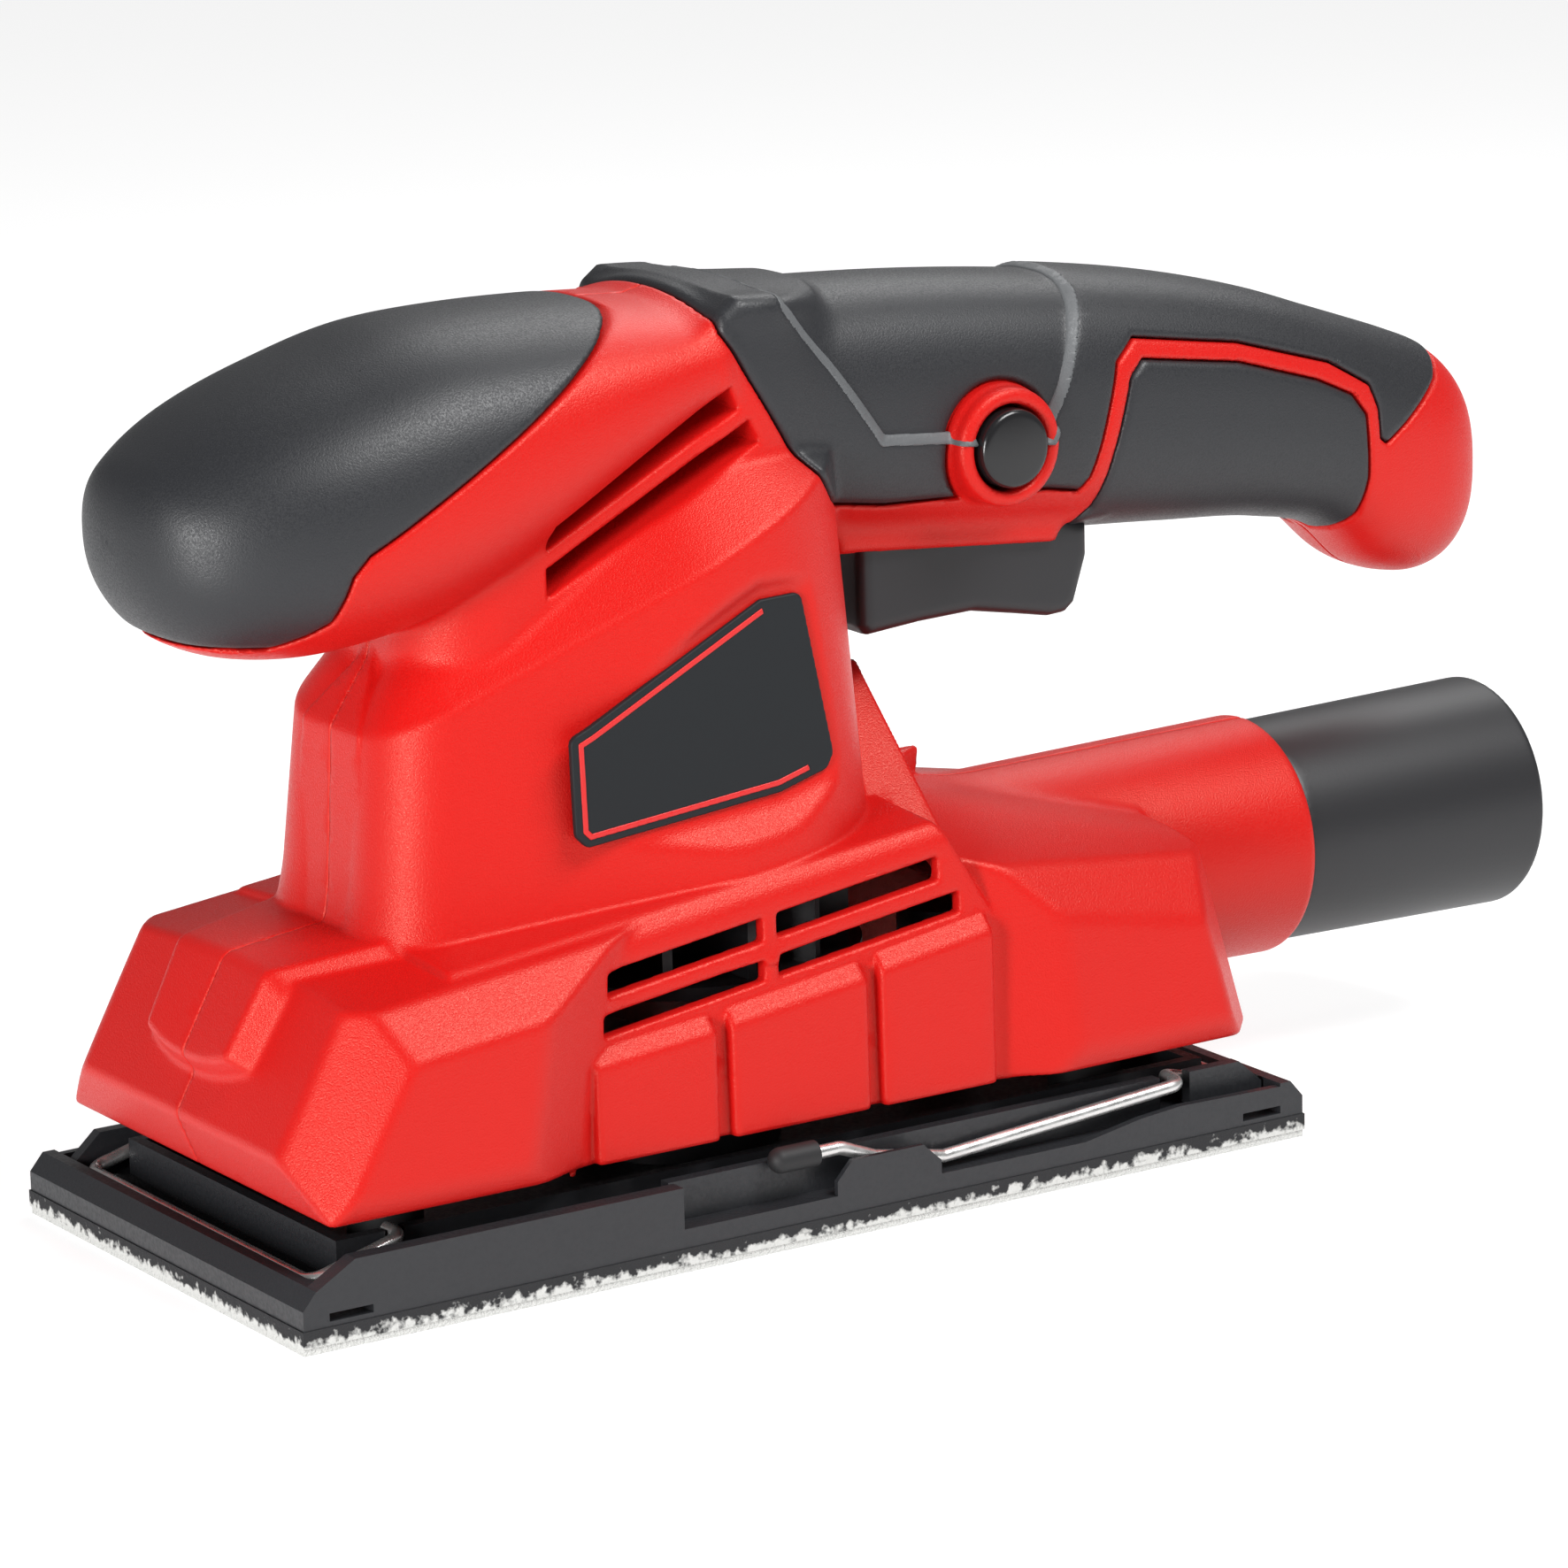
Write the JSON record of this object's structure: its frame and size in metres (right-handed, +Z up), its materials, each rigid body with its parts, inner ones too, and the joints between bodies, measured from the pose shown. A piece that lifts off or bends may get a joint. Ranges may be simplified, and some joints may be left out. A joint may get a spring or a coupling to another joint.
{
  "type": "orbital sander",
  "caption": "Corded half-sheet orbital sander with a faceted skirt, front knob, rear handle with trigger, wire paper clamps and a rear dust adapter.",
  "frame": {"origin": "centre of the sanding face, on the plane of the work", "axes": "+X towards the dust outlet, +Z up, -Y the side with the lock button"},
  "size_m": [0.2617, 0.0904, 0.1467],
  "materials": {
    "red_plastic": "satin moulded",
    "soft_grip": "matt soft-touch",
    "black_plastic": "fine grain",
    "plate_black": "satin",
    "label": "gloss printed",
    "steel": "ground",
    "zinc_wire": "bright zinc plated",
    "screw_steel": "plated",
    "rubber": "matt",
    "foam": "open foam",
    "loop": "fuzzy hook-and-loop",
    "copper": "enamelled copper",
    "brass": "drawn",
    "carbon": "pressed carbon",
    "aluminium": "die-cast"
  },
  "bodies": {
    "housing": {"left_shell": "red_plastic", "right_shell": "red_plastic", "knob_grip": "soft_grip", "handle_grip": "soft_grip", "left_side_grip": "soft_grip", "right_side_grip": "soft_grip", "name_plate": "label", "rating_plate": "label", "housing_screws": "screw_steel", "switch": "black_plastic", "capacitor": "label", "cord_clamp": "black_plastic", "stator_core": "steel", "field_coils": "copper", "brush_holders": "brass", "carbon_brushes": "carbon", "brush_springs": "steel", "upper_bearing": "steel", "lower_bearing": "steel", "bearing_bracket": "aluminium", "isolator_posts": "rubber", "lock_button_spring": "steel", "trigger_spring": "steel"},
    "armature": {"motor_shaft": "steel", "armature_core": "steel", "armature_windings": "copper", "commutator": "brass", "cooling_fan": "black_plastic", "eccentric": "aluminium"},
    "plate": {"base_plate": "plate_black", "foam_pad": "foam", "loop_layer": "loop", "eccentric_bearing": "steel", "bearing_retainer": "steel"},
    "rear_clamp": {"rear_clamp_wire": "zinc_wire", "rear_clamp_tip": "rubber"},
    "front_clamp": {"front_clamp_wire": "zinc_wire", "front_clamp_tip": "rubber"},
    "trigger": {"trigger": "black_plastic"},
    "lock_button": {"lock_button": "black_plastic"},
    "adapter": {"dust_adapter": "black_plastic"}
  },
  "joints": [
    {"name": "motor_spin", "type": "hinge", "parent": "housing", "child": "armature", "pos_m": [0.001, 0, 0.06], "axis": [0, 0, 1], "continuous": true},
    {"name": "plate_orbit", "type": "hinge", "parent": "armature", "child": "plate", "pos_m": [0, 0, 0.013], "axis": [0, 0, 1], "continuous": true},
    {"name": "rear_clamp_lever", "type": "hinge", "parent": "plate", "child": "rear_clamp", "pos_m": [0.071, 0, 0.0125], "axis": [0, 1, 0], "range_deg": [0, 6]},
    {"name": "front_clamp_lever", "type": "hinge", "parent": "plate", "child": "front_clamp", "pos_m": [-0.071, 0, 0.0125], "axis": [0, -1, 0], "range_deg": [0, 6]},
    {"name": "trigger_squeeze", "type": "hinge", "parent": "housing", "child": "trigger", "pos_m": [0.0355, 0, 0.1035], "axis": [0, -1, 0], "range_deg": [0, 5], "stiffness_Nm_per_rad": 0.6, "springref_deg": -5.73, "deforming": ["trigger_spring"]},
    {"name": "lock_button_press", "type": "slide", "parent": "housing", "child": "lock_button", "axis": [0, 1, 0], "range_m": [0, 0.003], "stiffness_N_per_m": 600, "springref_m": -0.003, "deforming": ["lock_button_spring"]},
    {"name": "adapter_pull", "type": "slide", "parent": "housing", "child": "adapter", "axis": [1, 0, 0], "range_m": [0, 0.012]}
  ],
  "couplings": [
    {"joint": "plate_orbit", "follows": "motor_spin", "ratio": -1}
  ]
}
